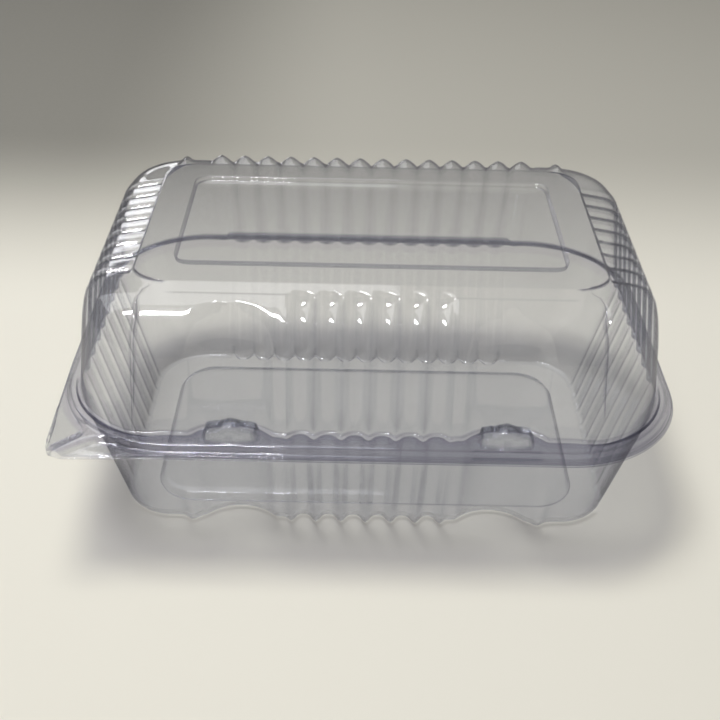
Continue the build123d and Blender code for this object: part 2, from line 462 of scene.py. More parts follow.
@dataclass
class Flange:
    """Edge of a half: a raised rim, a step, a land and a lip turned down, on its outer or upper face."""

    sizes: PackSizes
    level: float
    shrink: float
    foot_round: float
    crown_round: float
    tab_lift: float
    rim_width: float = 5.8
    rim_rise: float = 2.6
    rise_draft: float = 25.0
    shelf_start: float = 1.6
    shelf_levels: int = 8
    step_levels: int = 8
    land_levels: int = 10
    lip_drop: float = 1.2
    lip_start: float = 0.45
    fold_blend: float = 1.0
    fold_side: Range = (0.5, 0.9)
    tab_corner: float = 6.0
    tab_narrow: float = 2.3
    tab_long: float = 1.7
    narrow_front: Range = (20.0, 78.0)
    narrow_left: Range = (80.0, 104.0)
    long_left: Range = (82.0, 112.0)
    long_front: Range = (30.0, 62.0)
    pad_half_width: float = 9.8
    pad_half_depth: float = 5.0
    pad_corner: float = 2.6
    pad_setback: float = 2.0
    pad_rise: float = 4.0
    pad_draft: float = 8.0
    pad_foot_blend: float = 0.3
    pad_top_blend: float = 0.5
    button_ahead: float = 1.0
    button_power: float = 4.0
    button_radius: float = 4.0
    button_rise: float = 2.6
    tongue_end: Point = (-111.6, -80.6)
    tongue_root: Point = (-98.0, -70.0)
    tongue_half_width: float = 3.3
    tongue_blend: float = 3.4
    detail_margin: float = 2.5

    @property
    def top(self) -> float:
        """Height of the raised rim."""
        return self.level + self.rim_rise

    @property
    def step_run(self) -> float:
        """How far the step runs out as it drops from the rim to the land."""
        return self.rim_rise * tan(radians(self.rise_draft))

    def path(self) -> tuple[Array, Array]:
        """Reach and height of each level from the rim's shelf outwards, and how far the shelf has run.

        Returns:
            Points (reach, height) and, for each, the share of the way across the shelf.
        """
        foot, edge = self.rim_width - self.shrink, self.sizes.flange_width
        crown = foot - self.step_run
        corners = [(self.shelf_start, self.top), (crown, self.top), (foot, self.level), (edge, self.level)]
        way = rounded_path(corners, (self.crown_round, self.foot_round))
        shelf = crown - self.shelf_start - self.crown_round / 2
        land = edge - foot - self.foot_round / 2
        parts = ((shelf, self.shelf_levels), (-land, self.step_levels), (TO_END, self.land_levels))
        points = stepped(way, parts)
        run = np.clip(np.arange(len(points)) / self.shelf_levels, 0, 1)
        return points, run

    def land_share(self, count: int) -> Array:
        """Share of the way across the land.

        Args:
            count: number of levels, of which the land has the last.

        Returns:
            The share at each level, as a column.
        """
        share = np.zeros((count, 1))
        share[-self.land_levels - 1:, 0] = np.linspace(0, 1, self.land_levels + 1)
        return share

    def tab_corners(self, plain: Array) -> Array:
        """Corner radius of each flange level at the pull tab."""
        return mix(plain, self.tab_corner, self.land_share(len(plain))[:, 0])

    def shape_land(self, surface: Surface) -> None:
        """Draws the land out to the fold at the back, shapes the tab and turns the edge down.

        Args:
            surface: the half's face, whose last levels are the land.
        """
        share = self.land_share(surface.x.shape[0])
        half, blend = self.sizes.fold_half_length, self.fold_blend
        along_fold = 1 - smooth(half - blend, half + blend, np.abs(surface.x))
        at_fold = along_fold * smooth(*self.fold_side, surface.ahead)
        reach = self.sizes.fold_reach - self.sizes.fold_gap / 2
        surface.y = surface.y + reach * share * at_fold
        left, front = np.maximum(-surface.x, 0), np.maximum(-surface.y, 0)
        low = smooth(*self.narrow_front, front) * smooth(*self.narrow_left, left)
        far = smooth(*self.long_left, left) * smooth(*self.long_front, front)
        surface.x = surface.x + self.tab_narrow * share * low
        surface.y = surface.y - self.tab_long * share * far
        tip = share * low * far
        lip = smooth(self.lip_start, 1, share) * (1 - at_fold) * (1 - tip)
        surface.z = surface.z - self.lip_drop * lip
        surface.z = surface.z + self.tab_lift * tip

    def pad(self, x: Array, y: Array) -> Array:
        """Height of a snap pad with drafted sides, a rounded top and a button.

        Args:
            x: place along the pad from its middle.
            y: place across the pad from its middle.

        Returns:
            The height at each place.
        """
        corner = self.pad_corner - self.shrink
        over_x = np.maximum(np.abs(x) - self.pad_half_width + self.pad_corner, 0)
        over_y = np.maximum(np.abs(y) - self.pad_half_depth + self.pad_corner, 0)
        inside = corner - np.hypot(over_x, over_y)
        climb = above_zero(inside / tan(radians(self.pad_draft)), self.pad_foot_blend)
        away = np.hypot(x, y + self.button_ahead) / self.button_radius
        button = self.button_rise * np.exp(-(away**self.button_power))
        return self.pad_rise - above_zero(self.pad_rise - climb, self.pad_top_blend) + button

    def tongue(self, x: Array, y: Array) -> Array:
        """How much the tongue of the pull tab lifts the land and the step beside the rim.

        Args:
            x: places along the pack.
            y: places across the pack.

        Returns:
            The lift at each place.
        """
        corner = self.sizes.root_corner
        from_x, from_y = x + self.sizes.root_half_width - corner, y + self.sizes.root_half_depth - corner
        past_rim = np.hypot(from_x, from_y) - corner - self.rim_width + self.shrink
        end, root = np.array(self.tongue_end), np.array(self.tongue_root)
        run = root - end
        share = np.clip(((x - end[0]) * run[0] + (y - end[1]) * run[1]) / (run @ run), 0, 1)
        middle = np.hypot(x - end[0] - share * run[0], y - end[1] - share * run[1])
        past_tongue = middle - self.tongue_half_width + self.shrink
        blend = self.tongue_blend
        joined = -blend * np.logaddexp(-past_rim / blend, -past_tongue / blend)
        lift = np.clip(-joined / self.step_run, 0, 1) - np.clip(-past_rim / self.step_run, 0, 1)
        return self.rim_rise * np.maximum(lift, 0) * (from_x < 0) * (from_y < 0)

    def detailed(self, x: float, y: float) -> bool:
        """Tells whether a place lies at a snap pad or on the pull tab.

        Args:
            x: place along the pack.
            y: place across the pack.

        Returns:
            Whether the flange is cut finer there.
        """
        corner = self.sizes.root_corner
        left, front = -x - self.sizes.root_half_width + corner, -y - self.sizes.root_half_depth + corner
        if left > 0 and front > 0:
            return np.hypot(left, front) > corner + self.rim_width - self.detail_margin
        aside = abs(abs(x) - self.sizes.bay_place)
        return front > corner / 2 and aside < self.pad_half_width + self.detail_margin

    def lift(self, x: Array, y: Array) -> Array:
        """How far the snap pads and the tongue of the pull tab rise above the flange.

        Args:
            x: places along the pack.
            y: places across the pack.

        Returns:
            The rise at each place.
        """
        pad_y = self.pad_setback - self.sizes.root_half_depth
        rise = self.tongue(x, y)
        for place in (-self.sizes.bay_place, self.sizes.bay_place):
            rise = rise + self.pad(x - place, y - pad_y)
        return rise


@dataclass
class FormedHalf:
    """One half of the pack, formed from sheet: shared steps of the tray and the lid."""

    sizes: PackSizes
    perimeter: Perimeter
    sharp_angle: float = 48.0
    bend_range: Range = (0.6, 2.0)
    groove_reach: float = 0.98
    groove_drop: float = 5.0
    groove_blend: float = 0.35
    rib_power: float = 1.5
    toe_end: float = 14.0
    merge_within: float = 1e-7
    level_within: float = 1e-5

    def groove(self, offset: Array, radius: float, depth: Any) -> Array:
        """Depth of a round groove at a distance from its middle line.

        Args:
            offset: distance from the middle line.
            radius: radius of the round.
            depth: depth on the middle line.

        Returns:
            The depth at each place, with softened edges.
        """
        inside = np.minimum(np.abs(offset), self.groove_reach * radius)
        rest = np.abs(offset) - inside
        floor = depth - radius + np.sqrt(radius**2 - inside**2) - self.groove_drop * rest
        return above_zero(floor, self.groove_blend)

    def bays(self, x: Array, depth: Array) -> Array:
        """Depth of the two bays of the front, from the depth on their middle lines."""
        return self.groove(np.abs(x) - self.sizes.bay_place, self.sizes.bay_radius, depth)

    def toe_zone(self, x: Array) -> Array:
        """Share of the front that is drawn in at the flange, fading out at the panel's edges."""
        edge = self.sizes.panel_half_width
        return 1 - smooth(edge - self.toe_end, edge, np.abs(x))

    def flute_offset(self, x: Array, side: Side) -> Array:
        """Finds the nearest flute.

        Args:
            x: places along the pack.
            side: the long side that is formed.

        Returns:
            Distance from its middle line, growing past the last flute.
        """
        pitch, count = self.sizes.flute_pitch, self.sizes.flute_count(side)
        first = -(count - 1) / 2
        index = np.clip(np.round(x / pitch - first), 0, count - 1)
        return x - (first + index) * pitch

    def crest(self, x: Array, side: Side) -> Array:
        """Narrow ridges beside the flutes.

        Args:
            x: places along the pack.
            side: the long side that is formed.

        Returns:
            Share of a ridge at each place, 1 on its middle line.
        """
        pitch, count = self.sizes.flute_pitch, self.sizes.flute_count(side)
        index = np.clip(np.round(x / pitch + count / 2), 0, count)
        return np.exp(-(((x - (index - count / 2) * pitch) / self.sizes.crest_spread) ** 2))

    def rib(self, x: Array, side: Side) -> Array:
        """A row of rounded ribs.

        Args:
            x: places along the pack.
            side: the long side that is formed.

        Returns:
            Share of a rib at each place, 1 on its middle line, 0 in the valleys and beyond.
        """
        pitch, count = self.sizes.flute_pitch, self.sizes.flute_count(side)
        index = np.clip(np.round(x / pitch + count / 2), 0, count)
        away = np.abs(x - (index - count / 2) * pitch) * 2 / pitch
        return 1 - np.clip(away, 0, 1) ** self.rib_power

    def pleat_groove(self, y: Array) -> Array:
        """Grooves between the pleats of a short side.

        Args:
            y: places across the pack.

        Returns:
            Share of a groove at each place, 1 on its floor.
        """
        places = self.sizes.groove_places
        index = np.clip(np.round((y - places[0]) / self.sizes.pleat_pitch), 0, len(places) - 1)
        away = np.abs(y - places[0] - index * self.sizes.pleat_pitch)
        return 1 - smooth(self.sizes.groove_half_floor, self.sizes.groove_half_width, away)

    def raise_details(self, shell: bmesh.types.BMesh, flange: Flange, first: int) -> None:
        """Cuts the flange finer at the snap pads and the pull tab and raises them.

        Args:
            shell: the half's face, with the level of each vertex in its level layer.
            flange: the half's flange.
            first: first level of the flange's shelf.
        """
        level = shell.verts.layers.float["level"]
        middle = self.sizes.middle_y
        fine = {
            vertex for vertex in shell.verts
            if vertex[level] >= first and flange.detailed(vertex.co.x / MM, vertex.co.y / MM + middle)}
        edges = [edge for edge in shell.edges if fine.issuperset(edge.verts)]
        bmesh.ops.subdivide_edges(shell, edges=edges, cuts=1, use_grid_fill=True)
        raised = [vertex for vertex in shell.verts if vertex[level] >= first]
        places = np.array([vertex.co for vertex in raised]) / MM
        for vertex, rise in zip(raised, flange.lift(places[:, 0], places[:, 1] + middle)):
            vertex.co.z += rise * MM

    def mark_bends(self, shell: bmesh.types.BMesh) -> None:
        """Writes to each vertex how tightly the sheet is bent there, from 0 to 1.

        Args:
            shell: the half's face.
        """
        bend = shell.verts.layers.float.new("bend")
        for vertex in shell.verts:
            tightest = 0.0
            for edge in vertex.link_edges:
                if edge.is_manifold:
                    width = sum(face.calc_area() for face in edge.link_faces) / 2 / edge.calc_length()
                    tightest = max(tightest, edge.calc_face_angle() / width * MM)
            vertex[bend] = smooth(*self.bend_range, tightest)

    def piece(
        self, name: str, surface: Surface, facing: Facing, flange: Flange, first_rim: int,
    ) -> bpy.types.Object:
        """Makes the mesh of a half from its face.

        Args:
            name: name of the object.
            surface: places of every level and station.
            facing: which way the outer face looks in the middle.
            flange: the half's flange.
            first_rim: first level of the flange's shelf.

        Returns:
            The object, with a wall of the sheet's thickness.
        """
        rows, columns = surface.x.shape
        shell = bmesh.new()
        bmesh.ops.create_grid(shell, x_segments=columns, y_segments=rows - 1, size=0.5)
        layer = shell.verts.layers.float.new("level")
        for vertex in shell.verts:
            station = round((vertex.co.x + 0.5) * columns) % columns
            level = round((vertex.co.y + 0.5) * (rows - 1))
            vertex[layer] = level
            vertex.co = Vector((
                surface.x[level, station] * MM,
                (surface.y[level, station] - self.sizes.middle_y) * MM,
                surface.z[level, station] * MM,
            ))
        bmesh.ops.remove_doubles(shell, verts=shell.verts, dist=self.merge_within)
        self.raise_details(shell, flange, first_rim)
        height = surface.z[0, 0] * MM
        inner = [
            edge for edge in shell.edges
            if edge.is_boundary and abs(edge.verts[0].co.z - height) < self.level_within]
        bmesh.ops.edgeloop_fill(shell, edges=inner)
        middle = max(shell.faces, key=lambda face: len(face.verts))
        bmesh.ops.recalc_face_normals(shell, faces=shell.faces)
        shell.normal_update()
        if middle.normal.z * facing.value < 0:
            bmesh.ops.reverse_faces(shell, faces=shell.faces)
        for face in shell.faces:
            face.smooth = face is not middle
        for edge in shell.edges:
            edge.smooth = edge.calc_face_angle(0.0) < radians(self.sharp_angle)
        self.mark_bends(shell)
        mesh = bpy.data.meshes.new(name)
        shell.to_mesh(mesh)
        shell.free()
        made = bpy.data.objects.new(name, mesh)
        bpy.context.scene.collection.objects.link(made)
        wall = made.modifiers.new("sheet", "SOLIDIFY")
        wall.thickness = self.sizes.sheet * MM
        wall.offset = -1
        return made


@dataclass
class Lid(FormedHalf):
    """Upper half: a recessed top panel, fluted shoulders, pleated ends and a rimmed flange."""

    front_lean: float = 13.0
    end_lean: float = 8.5
    crown_corner: float = 20.0
    panel_corner: float = 10.0
    front_shoulder: float = 29.0
    rear_shoulder: float = 23.0
    end_shoulder: float = 9.0
    crease_angle: float = 75.0
    roof_angle: float = 80.0
    shoulder_ease: float = 0.97
    shoulder_proud: float = 0.4
    saddle_step: float = 2.6
    step_run: float = 0.5
    crease_round: float = 0.6
    crease_margin: float = 2.0
    root_round: float = 1.0
    line_start: Range = (5.0, 5.5)
    line_fade: Range = (12.0, 24.0)
    line_depth: float = 0.2
    recess_half_width: float = 72.8
    recess_half_depth: float = 34.7
    recess_centre: float = 3.2
    recess_corner: float = 5.0
    recess_sink: float = 2.0
    recess_run: float = 0.3
    recess_inside: float = 6.0
    recess_outside: float = 3.5
    recess_rounds: tuple[float, float] = (0.15, 0.45)
    recess_rear_rounds: tuple[float, float] = (1.0, 1.0)
    centre_shares: tuple[float, float] = (0.66, 0.33)
    least_corner: float = 0.8
    corner_run: float = 0.3
    flat_drop: Range = (0.5, 7.0)
    flat_climb: Range = (12.0, 30.0)
    flute_full: float = 56.0
    flute_closing: float = 12.5
    front_crest: float = 1.0
    rear_rise: float = 1.2
    rib_height: float = 3.4
    rib_sunk: float = 1.1
    rib_start: Range = (20.0, 50.0)
    rib_stop: Range = (66.0, 75.0)
    rib_zone_blend: float = 2.0
    column_proud: float = 0.3
    column_ahead: Range = (0.05, 0.2)
    column_across: Range = (0.45, 0.75)
    column_start: Range = (82.0, 91.0)
    column_stop: Range = (96.5, 100.5)
    panel_spread: float = 2.5
    panel_inset: float = 4.2
    inset_run: float = 0.15
    panel_top: float = 1.5
    panel_round: float = 10.0
    panel_draw: float = 6.0
    edge_crease: float = 1.5
    edge_crease_width: float = 0.6
    edge_crease_start: Range = (0.5, 2.0)
    pleat_start: Range = (0.9, 2.4)
    outer_rib: float = 79.7
    outer_rib_height: float = 1.8
    outer_rib_spread: float = 1.8
    outer_rib_start: Range = (45.0, 60.0)
    bay_depth: float = 8.5
    bay_exit: float = 21.0
    bay_turn: float = 60.0
    wall_foot: float = 4.0
    lean_blend: float = 20.0
    toe_depth: float = 2.4
    toe_height: float = 9.0
    toe_flute: float = 0.5
    toe_bay: float = 0.3
    recess_parts: Parts = ((5.5, 1), (6.4, 3), (7.8, 2), (8.7, 3), (TO_END, 1))
    long_parts: Parts = (
        (1.5, 1), (2.6, 5), (6.7, 4), (7.9, 3), (12.0, 4), (-3.4, 15), (-0.8, 5), (TO_END, 1))
    end_parts: Parts = (
        (1.5, 1), (2.4, 3), (4.2, 1), (5.2, 3), (9.0, 3), (-3.4, 21), (-0.8, 5), (TO_END, 1))

    def flange(self) -> Flange:
        """The lid's flange, seen from above."""
        return Flange(
            self.sizes, self.sizes.lid_flange_top, shrink=0.0, foot_round=0.9, crown_round=1.2, tab_lift=0.2)

    def long_profile(self, shoulder: float) -> Array:
        """Path of the front or rear wall from the panel, over the shoulder, down to the flange.

        Args:
            shoulder: radius of the shoulder.

        Returns:
            Close points (out, height).
        """
        top, low = self.sizes.closed_height, self.sizes.lid_flange_top
        root = (self.sizes.root_half_depth + self.shoulder_proud, low)
        rim = self.flange().top
        height = top - shoulder * sin(radians(self.crease_angle))
        inward = shoulder + sin(radians(self.front_lean)) * (height - low)
        centre = root[0] - inward / cos(radians(self.front_lean))
        crease = (centre + shoulder * cos(radians(self.crease_angle)), top)
        bend = meeting(crease, self.crease_angle, root, self.front_lean)
        stand = (root[0] - (rim - low) * tan(radians(self.front_lean)), rim)
        shelf = (self.sizes.root_half_depth + self.flange().shelf_start, rim)
        corners = [(crease[0] - self.crease_margin, top), crease, bend, stand, shelf]
        return rounded_path(corners, (self.crease_round, shoulder * self.shoulder_ease, self.root_round))

    def end_profile(self) -> Array:
        """Path of a short side: the step at the saddle, the roof, the shoulder and the wall.

        Returns:
            Close points (out, height).
        """
        top, low = self.sizes.closed_height, self.sizes.lid_flange_top
        saddle = self.sizes.panel_half_width
        root = (self.sizes.root_half_width + self.shoulder_proud, low)
        foot = (saddle + self.step_run, top - self.saddle_step)
        bend = meeting(foot, self.roof_angle, root, self.end_lean)
        rim = self.flange().top
        stand = (root[0] - (rim - low) * tan(radians(self.end_lean)), rim)
        shelf = (self.sizes.root_half_width + self.flange().shelf_start, rim)
        corners = [(saddle - self.crease_margin, top), (saddle, top), foot, bend, stand, shelf]
        rounds = (self.crease_round, self.crease_round, self.end_shoulder, self.root_round)
        return rounded_path(corners, rounds)

    def levels(self) -> tuple[Levels, Array, int, int]:
        """Outlines of the lid from the middle of its top to the edge of its flange.

        Returns:
            The levels, the corner radii at the tab, and the first levels of the shell and of the shelf.
        """
        top = self.sizes.closed_height
        floor = top - self.recess_sink
        inside, outside = (-self.recess_inside, floor), (self.recess_outside, top)
        sink = [inside, (0.0, floor), (self.recess_run, top), outside]
        recess, soft = (
            stepped(rounded_path(sink, rounds), self.recess_parts)
            for rounds in (self.recess_rounds, self.recess_rear_rounds))
        front, rear = (
            stepped(self.long_profile(shoulder), self.long_parts)
            for shoulder in (self.front_shoulder, self.rear_shoulder))
        end = stepped(self.end_profile(), self.end_parts)
        rim, _ = self.flange().path()
        profiles = []
        for edge, half, shell, root in (
            (recess, self.recess_half_depth, front, self.sizes.root_half_depth),
            (soft, self.recess_half_depth, rear, self.sizes.root_half_depth),
            (recess, self.recess_half_width, end, self.sizes.root_half_width),
        ):
            inner = edge + (half, 0)
            bridge = between(inner[-1], shell[0])
            profiles.append(np.concatenate([inner, bridge, shell, rim[1:] + (root, 0)]))
        count = len(profiles[0])
        first_shell = len(recess) + BRIDGE
        first_rim = first_shell + len(front)
        corner = np.empty(count)
        corner[:len(recess)] = np.maximum(self.recess_corner + recess[:, 0], self.least_corner)
        corner[len(recess):first_shell] = between(corner[len(recess) - 1], self.panel_corner)
        run = np.linspace(0, 1, len(front))
        climb = (front[:, 1] - self.sizes.lid_flange_top) / (top - self.sizes.lid_flange_top)
        wall_corner = mix(self.sizes.root_corner, self.crown_corner, climb)
        corner[first_shell:first_rim] = mix(self.panel_corner, wall_corner, smooth(0, self.corner_run, run))
        corner[first_rim:] = self.sizes.root_corner + rim[1:, 0]
        centre = np.zeros(count)
        centre[:len(recess)] = self.recess_centre
        centre[len(recess):first_shell] = self.recess_centre * np.array(self.centre_shares)
        flat = np.zeros(count)
        drop = top - front[:, 1]
        climbed = front[:, 1] - self.sizes.lid_flange_top
        flat[first_shell:first_rim] = smooth(*self.flat_drop, drop) * smooth(*self.flat_climb, climbed)
        spread = np.zeros(count)
        spread[first_shell:] = self.panel_spread - self.panel_inset
        near_top = np.clip((front[:, 1] - top + self.panel_round + self.panel_top) / self.panel_round, 0, 1)
        drawn = self.panel_draw * (1 - np.sqrt(1 - near_top**2))
        below = 1 - np.clip(climb, 0, 1)
        inset = self.panel_inset * smooth(0, self.inset_run, below)
        spread[first_shell:first_rim] = self.panel_spread * below - inset - drawn
        levels = Levels(*profiles, corner, centre, flat, spread)
        return levels, self.flange().tab_corners(corner), first_shell, first_rim

    def flute_reach(self, tilt: Array) -> Array:
        """Depth of a front flute on its middle line, closing in a round end on the shoulder.

        Args:
            tilt: angle of the face's normal above level.

        Returns:
            The depth, below zero past the end.
        """
        past = (tilt - radians(self.flute_full)) / radians(self.flute_closing)
        beyond = np.maximum(past - 1, 0) * radians(self.flute_closing) * self.front_shoulder
        return self.sizes.flute_depth * np.sqrt(1 - np.clip(past, 0, 1) ** 2) - beyond

    def bay_reach(self, tilt: Array) -> Array:
        """Depth of a bay, which follows the front wall and leaves its shoulder on a straight line.

        Args:
            tilt: angle of the face's normal above level.

        Returns:
            The depth on the bay's middle line.
        """
        past = np.clip(tilt - radians(self.bay_exit), 0, radians(self.bay_turn))
        reach = self.front_shoulder + self.sizes.bay_radius
        return reach - (reach - self.bay_depth) / np.cos(past)

    def rear_ribs(self, surface: Surface, tilt: Array) -> Array:
        """Depth of the valleys between the ribs of the back; the ribs stand out on its shoulder.

        Args:
            surface: the plain face.
            tilt: angle of the back's normal above level, as a column.

        Returns:
            The depth at each place.
        """
        on_shoulder = smooth(*np.radians(self.rib_start), tilt)
        before_crease = 1 - smooth(*np.radians(self.rib_stop), tilt)
        half = (self.sizes.rear_flutes + 1) / 2 * self.sizes.flute_pitch
        zone = 1 - smooth(half - self.rib_zone_blend, half + self.rib_zone_blend, np.abs(surface.x))
        sunk = mix(self.sizes.flute_depth, self.rib_sunk, on_shoulder)
        ribs = zone * (self.rib_height * self.rib(surface.x, Side.REAR) - sunk)
        away = (np.abs(surface.x) - self.outer_rib) / self.outer_rib_spread
        outer = np.exp(-(away**2)) * smooth(*np.radians(self.outer_rib_start), tilt)
        ribs = ribs + self.outer_rib_height * outer
        return -(self.rear_rise * on_shoulder + ribs) * before_crease * surface.side(Side.REAR)

    def front_depth(self, surface: Surface, levels: Levels, first_shell: int, tilt: Array) -> Array:
        """Depth of what is formed into the front: flutes, bays, creases and the wall drawn in at the flange.

        Args:
            surface: the plain face.
            levels: the lid's outlines.
            first_shell: first level of the shell.
            tilt: angle of the front's normal above level, as a column.

        Returns:
            The depth at each place.
        """
        offset = self.flute_offset(surface.x, Side.FRONT)
        flutes = self.groove(offset, self.sizes.flute_radius, self.flute_reach(tilt))
        closing = np.radians((self.flute_full - self.flute_closing, self.flute_full))
        crests = self.front_crest * (1 - smooth(*closing, tilt)) * self.crest(surface.x, Side.FRONT)
        bays = self.bays(surface.x, self.bay_reach(tilt))
        height = levels.front[:, 1:] - self.flange().top
        on_wall = np.arange(len(height))[:, None] > first_shell
        near = (1 - smooth(0, self.toe_height, height)) * on_wall
        toe = self.toe_depth * near * self.toe_zone(surface.x)
        walked = np.zeros((len(height), 1))
        steps = np.linalg.norm(np.diff(levels.front[first_shell:], axis=0), axis=1)
        walked[first_shell + 1:, 0] = np.cumsum(steps)
        below_crease = walked - self.crease_margin
        line = smooth(*self.line_start, below_crease) * (1 - smooth(*self.line_fade, below_crease))
        edge = self.sizes.panel_half_width + levels.spread[:, None]
        crease = np.exp(-(((np.abs(surface.x) - edge) / self.edge_crease_width) ** 2))
        crease = crease * smooth(*self.edge_crease_start, below_crease) * levels.flat[:, None]
        depth = (flutes - crests) * (1 - self.toe_flute * near) + bays * (1 - self.toe_bay * near)
        depth = depth + toe + self.line_depth * line + self.edge_crease * crease
        return depth * surface.side(Side.FRONT)

    def corner_columns(self, surface: Surface) -> Array:
        """How far the upright corners stand proud below the roof.

        Args:
            surface: the plain face.

        Returns:
            The rise at each place.
        """
        past_end = smooth(*self.column_ahead, np.abs(surface.ahead))
        past_long = smooth(*self.column_across, np.abs(surface.across))
        height = smooth(*self.column_start, surface.z) * (1 - smooth(*self.column_stop, surface.z))
        return self.column_proud * past_end * past_long * height

    def build(self) -> bpy.types.Object:
        """Shapes the lid and makes its mesh.

        Returns:
            The object, riding on the cover.
        """
        levels, tabbed, first_shell, first_rim = self.levels()
        surface = self.perimeter.place(levels, Facing.UP, tabbed)
        flange, lean = self.flange(), radians(self.front_lean)
        _, run = flange.path()
        fade = np.ones((len(levels.corner), 1))
        fade[first_rim:, 0] = 1 - run[1:]
        on_wall = np.arange(len(fade))[:, None] > first_shell
        wall = on_wall & (levels.front[:, 1:] < flange.top + self.wall_foot)
        front_tilt, rear_tilt = (
            np.where(wall, lean, levels.tilt(profile, Facing.UP)[:, None])
            for profile in (levels.front, levels.rear))
        depth = self.front_depth(surface, levels, first_shell, front_tilt)
        depth += self.rear_ribs(surface, rear_tilt) - self.corner_columns(surface)
        on_roof = smooth(*self.pleat_start, levels.end[:, :1] - self.sizes.panel_half_width)
        depth += self.sizes.groove_depth * self.pleat_groove(surface.y) * surface.end() * on_roof
        depth[:first_shell + 1] = 0
        leaning = smooth(lean, lean + radians(self.lean_blend), surface.tilt)
        surface.tilt = np.where(wall, 0.0, surface.tilt * leaning)
        surface.push(-depth * fade)
        flange.shape_land(surface)
        made = self.piece("lid_sheet", surface, Facing.UP, flange, first_rim)
        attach(made, "cover")
        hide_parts("lid")
        return made


